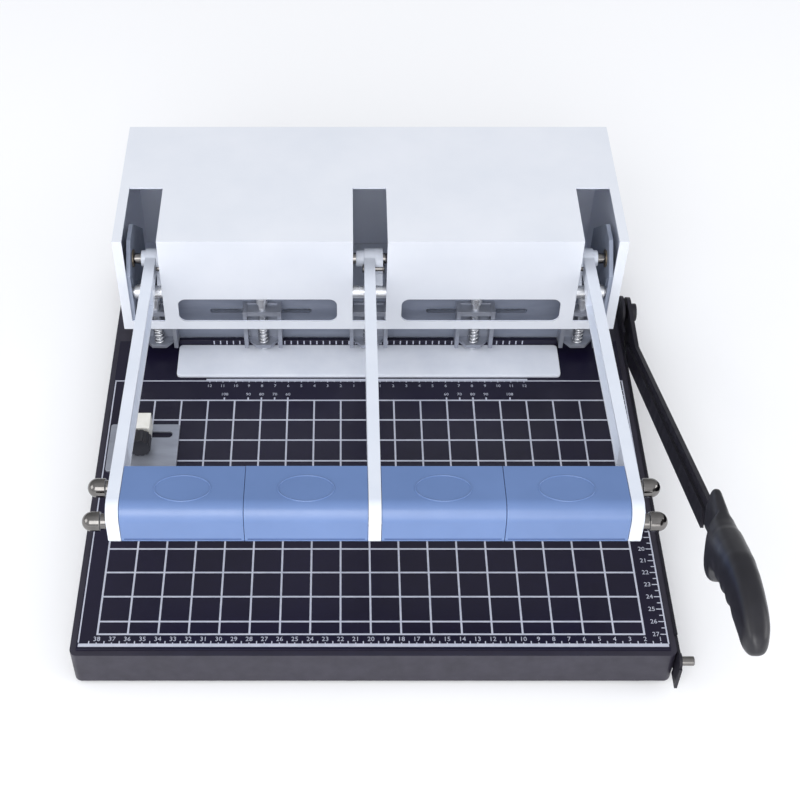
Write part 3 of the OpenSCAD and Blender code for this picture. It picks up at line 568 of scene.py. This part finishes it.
def addFigure(shape, number, x, y, height):
    curve = bpy.data.curves.new("figure", "FONT")
    curve.body = str(number)
    curve.size = height * mm / figures["fontShare"]
    curve.align_x = "CENTER"
    curve.align_y = "CENTER"
    curve.extrude = printing["ink"] * mm / 2
    curve.resolution_u = figures["curveSteps"]
    text = bpy.data.objects.new("figure", curve)
    scene.collection.objects.link(text)
    bpy.context.view_layer.update()
    mesh = bpy.data.meshes.new_from_object(text.evaluated_get(bpy.context.evaluated_depsgraph_get()))
    lift = panelTop + printing["ink"] * mm / 2
    mesh.transform(Matrix.Translation((boardX(x), boardY(y), lift)))
    shape.from_mesh(mesh)
    bpy.data.objects.remove(text)
    bpy.data.meshes.remove(mesh)


def makeFigures():
    shape = bmesh.new()
    for n in figures["front"]:
        addFigure(shape, n, centimetreX(n), figures["frontRow"], figures["tall"])
    for n in figures["side"]:
        addFigure(shape, n, figures["sideColumn"], -centimetre * n, figures["tall"])
    for n in figures["middle"]:
        addFigure(shape, abs(n), centimetre * n, figures["middleRow"], figures["small"])
    for side in (-1, 1):
        for spacing in printing["spacings"]:
            addFigure(shape, spacing, side * spacing, figures["spacingRow"], figures["small"])
    return newPiece("rulerFigures", shape, surfaces["screenInk"])


fenceTicks = {
    "half": 0.45,  # half of a tick's width
    "proud": 0.06,
    "foot": 0.2,  # gaps over the pad and under the strip's top
    "head": 0.35,
}


def makeFenceTicks():
    shape = bmesh.new()
    aside = fenceTicks["half"] * mm
    face = fenceLow.y - fenceTicks["proud"] * mm
    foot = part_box("cutting_pad")[1].z + fenceTicks["foot"] * mm
    head = fenceHigh.z - fenceTicks["head"] * mm
    for half in printing["halves"]:
        x = halfCentimetre * half * mm
        addSlab(shape, (x - aside, face, foot), (x + aside, fenceLow.y, head))
    return newPiece("fenceTicks", shape, surfaces["screenInk"])


for piece in (makeGrid(), makeRulers(), makeFigures(), makeFenceTicks()):
    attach(piece, "base")
print("panel printed")

# the lever's own frame: how far forward of the pivot and how high above it a point of an arm lies, in mm
lever = {
    "rise": 4.5,  # degrees
    "length": 262.0,
    "top": 4.5,
    "gripHeight": 29.5,
    "noseRadius": 11.0,
}
leverPivot = jointPlace("lever_swing")


def leverPoint(x, forward, up):
    rise = math.radians(lever["rise"])
    y = up * math.sin(rise) - forward * math.cos(rise)
    z = up * math.cos(rise) + forward * math.sin(rise)
    return Vector((x, leverPivot.y + y * mm, leverPivot.z + z * mm))


def gripTop(forward):
    over = max(forward - lever["length"] + lever["noseRadius"], 0.0)
    return lever["top"] - lever["noseRadius"] + math.sqrt(lever["noseRadius"] ** 2 - over ** 2)


# plain raised ovals on the grips, and the moulding's parting line along their front, in mm
oval = {"long": 35.0, "short": 22.0, "wire": 0.55, "flatten": 0.8, "forward": 242.0,
        "turns": 72, "sides": 8}
parting = {
    "up": 4.4,  # from the grip's foot
    "height": 0.6,  # at its front, and twice that at its root
    "proud": 0.25,
    "sunk": 0.5,
    "endGap": 1.8,
}


def makeOval(grip):
    low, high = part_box(grip)
    middle = (low.x + high.x) / 2
    shape = bmesh.new()
    rings = []
    for i in range(oval["turns"]):
        a = 2 * math.pi * i / oval["turns"]
        ring = []
        for j in range(oval["sides"]):
            b = 2 * math.pi * j / oval["sides"]
            grow = oval["wire"] * math.cos(b)
            forward = oval["forward"] - (oval["short"] / 2 + grow) * math.sin(a)
            x = middle + (oval["long"] / 2 + grow) * math.cos(a) * mm
            up = gripTop(forward) + oval["wire"] * math.sin(b) * oval["flatten"]
            ring.append(shape.verts.new(leverPoint(x, forward, up)))
        rings.append(ring)
    joinRings(shape, rings, closed=True)
    return newPiece(grip + "_oval", shape, surfaces["mouldedAbsBlue"], smooth=True)


def makePartingLine(grip):
    low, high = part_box(grip)
    middle = lever["top"] - lever["gripHeight"] + parting["up"]
    root, front = lever["length"] - parting["sunk"], lever["length"] + parting["proud"]
    tall = parting["height"]
    corners = ((root, middle - tall), (front, middle - tall / 2),
               (front, middle + tall / 2), (root, middle + tall))
    shape = bmesh.new()
    ends = []
    for x in (low.x + parting["endGap"] * mm, high.x - parting["endGap"] * mm):
        ends.append([shape.verts.new(leverPoint(x, *corner)) for corner in corners])
    joinRings(shape, ends)
    # the ridge takes the darker ABS tone, painted shade along the seam
    return newPiece(grip + "_partingLine", shape, surfaces["mouldedAbsSeamPaintedShade"])


for grip in ("far_left_grip", "left_grip", "right_grip", "far_right_grip"):
    for piece in (makeOval(grip), makePartingLine(grip)):
        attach(piece, "lever")
print("grips dressed")

# coil springs drawn at rest in place of the spring nodes (in the machine they stretch as the punches lift);
# closed is how many turns lie flat at each end
coil = {"wire": 1.1, "turns": 5, "stepsPerTurn": 20, "sides": 10, "closed": 0.75}


def makeSpring(node, name):
    low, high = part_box(node)
    middle = (low + high) / 2
    wire = coil["wire"] * mm / 2
    radius = (high.x - low.x) / 2 - wire
    steps = coil["turns"] * coil["stepsPerTurn"]
    flat = coil["closed"] / coil["turns"]
    shape = bmesh.new()
    rings = []
    for i in range(steps + 1):
        share = i / steps
        angle = 2 * math.pi * coil["turns"] * share
        climb = min(max((share - flat) / (1 - 2 * flat), 0.0), 1.0)
        centre = Vector((middle.x, middle.y, low.z + wire + climb * (high.z - low.z - 2 * wire)))
        out = Vector((math.cos(angle), math.sin(angle), 0))
        ring = []
        for j in range(coil["sides"]):
            b = 2 * math.pi * j / coil["sides"]
            point = out * (radius + wire * math.cos(b)) + Vector((0, 0, wire * math.sin(b)))
            ring.append(shape.verts.new(centre + point))
        rings.append(ring)
    joinRings(shape, rings)
    piece = newPiece(name, shape, surfaces["springWire"], smooth=True)
    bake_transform(piece)
    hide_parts(node)


makeSpring("left_return_spring", "leftReturnCoil")
makeSpring("right_return_spring", "rightReturnCoil")
makeSpring("left_punch_spring", "leftPunchCoil")
makeSpring("centre_punch_spring", "centrePunchCoil")
makeSpring("right_punch_spring", "rightPunchCoil")
print("springs wound")

# trimmer handle: one moulding lofted along the arm, thin where it passes the stop at the front corner
trimmer = {"angle": 22.5, "armLength": 294.0, "drop": 18.5}  # degrees at rest, mm
handle = {
    "length": 123.0,
    "ringStep": 1.2,
    "sides": 40,
    "square": 0.72,  # below 1 the section is squarer than an ellipse
    "grooves": 4,
    "groovePitch": 12.0,
    "grooveDepth": 2.6,
    "firstGroove": 43.0,
    "skinLevels": 1,
    # in mm: distance from the arm's end, top and bottom from its middle line, left and right half width
    "stations": (
        (0.0, 10.5, -9.5, 2.6, 3.0), (2.5, 12.5, -9.5, 3.4, 4.0), (6.0, 21.0, -9.5, 3.4, 4.5),
        (9.0, 22.6, -9.5, 3.4, 4.6), (14.0, 21.4, -9.5, 3.4, 5.0), (20.8, 18.2, -9.5, 3.4, 6.2),
        (22.6, 17.4, -16.5, 3.4, 6.8), (24.6, 16.8, -22.5, 3.5, 7.4), (26.4, 16.3, -25.2, 6.6, 8.2),
        (29.0, 15.8, -26.6, 8.8, 9.2), (33.0, 15.4, -27.0, 9.5, 9.5), (39.0, 15.4, -23.5, 9.5, 9.5),
        (44.0, 15.8, -16.5, 9.4, 9.5), (70.0, 16.0, -16.0, 8.9, 9.5), (90.0, 12.0, -18.5, 7.9, 9.5),
        (104.0, 6.0, -21.5, 7.2, 9.3), (112.0, 0.6, -22.9, 6.8, 8.7), (118.0, -5.0, -22.0, 5.6, 7.0),
        (121.5, -9.2, -19.6, 3.8, 4.6), (123.0, -13.0, -16.4, 1.6, 1.8),
    ),
}


def station(distance, column):  # smooth curve through the stations that never overshoots them
    rows = handle["stations"]
    steps = [b[0] - a[0] for a, b in zip(rows, rows[1:])]
    slopes = [(b[column] - a[column]) / step for a, b, step in zip(rows, rows[1:], steps)]
    bends = [slopes[0]]
    for before, after in zip(slopes, slopes[1:]):
        bends.append(2 * before * after / (before + after) if before * after > 0 else 0.0)
    bends.append(slopes[-1])
    i = max(k for k in range(len(steps)) if rows[k][0] <= distance)
    share = (distance - rows[i][0]) / steps[i]
    rest = 1 - share
    near = rows[i][column] * (1 + 2 * share) * rest ** 2
    far = rows[i + 1][column] * share ** 2 * (1 + 2 * rest)
    return near + far + steps[i] * share * rest * (bends[i] * rest - bends[i + 1] * share)


def handleSection(distance):  # points of one ring: mm across the arm and mm above its middle line
    top, low, left, right = [station(distance, column) for column in (1, 2, 3, 4)]
    into = distance - handle["firstGroove"]
    if 0 < into < handle["grooves"] * handle["groovePitch"]:  # finger grooves along the underside
        low += handle["grooveDepth"] * abs(math.sin(math.pi * into / handle["groovePitch"]))
    section = []
    for j in range(handle["sides"]):
        b = 2 * math.pi * j / handle["sides"]
        across, up = math.cos(b), math.sin(b)
        half = right if across > 0 else left
        x = half * math.copysign(abs(across) ** handle["square"], across)
        z = (top + low) / 2 + (top - low) / 2 * math.copysign(abs(up) ** handle["square"], up)
        section.append((x, z))
    return section


def makeHandle():
    pivot = jointPlace("trimmer_swing")
    armLow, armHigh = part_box("trimmer_arm")
    armX = (armLow.x + armHigh.x) / 2
    tilt = Matrix.Rotation(math.radians(-trimmer["angle"]), 3, "X")
    shape = bmesh.new()
    rings = []
    count = round(handle["length"] / handle["ringStep"])
    for i in range(count + 1):
        distance = handle["length"] * i / count
        forward = -(trimmer["armLength"] + distance) * mm
        ring = []
        for x, z in handleSection(distance):
            point = tilt @ Vector((0, forward, (z - trimmer["drop"]) * mm))
            ring.append(shape.verts.new((armX + x * mm, pivot.y + point.y, pivot.z + point.z)))
        rings.append(ring)
    joinRings(shape, rings)
    piece = newPiece("trimmerHandleMoulding", shape, surfaces["mouldedNylonBlack"], smooth=True)
    skin = piece.modifiers.new("skin", "SUBSURF")
    skin.levels = handle["skinLevels"]
    skin.render_levels = handle["skinLevels"]
    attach(piece, "trimmer")
    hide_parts("trimmer_handle")


makeHandle()
print("handle moulded")

# bright sleeve on the trimmer's stop pin, placed from the bracket's low corner, in mm
sleeve = {"behind": 7.0, "above": 22.0, "plate": 2.1, "radius": 3.15, "chamfer": 0.6, "proud": 0.1,
          "sides": 32}


def makeStopSleeve():
    low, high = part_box("stop_bracket")
    y, z = low.y + sleeve["behind"] * mm, low.z + sleeve["above"] * mm
    start, end = low.x + sleeve["plate"] * mm, high.x + sleeve["proud"] * mm
    outer, chamfer = sleeve["radius"] * mm, sleeve["chamfer"] * mm
    profile = ((start, outer - chamfer), (start, outer), (end - chamfer, outer), (end, outer - chamfer))
    turn = [2 * math.pi * i / sleeve["sides"] for i in range(sleeve["sides"])]
    shape = bmesh.new()
    rings = []
    for x, radius in profile:
        circle = [(x, y + radius * math.cos(a), z + radius * math.sin(a)) for a in turn]
        rings.append([shape.verts.new(point) for point in circle])
    joinRings(shape, rings)
    piece = newPiece("stopPinSleeve", shape, surfaces["nickelPlate"])
    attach(piece, "base")


makeStopSleeve()
print("stop pin dressed")

bpy.context.view_layer.update()
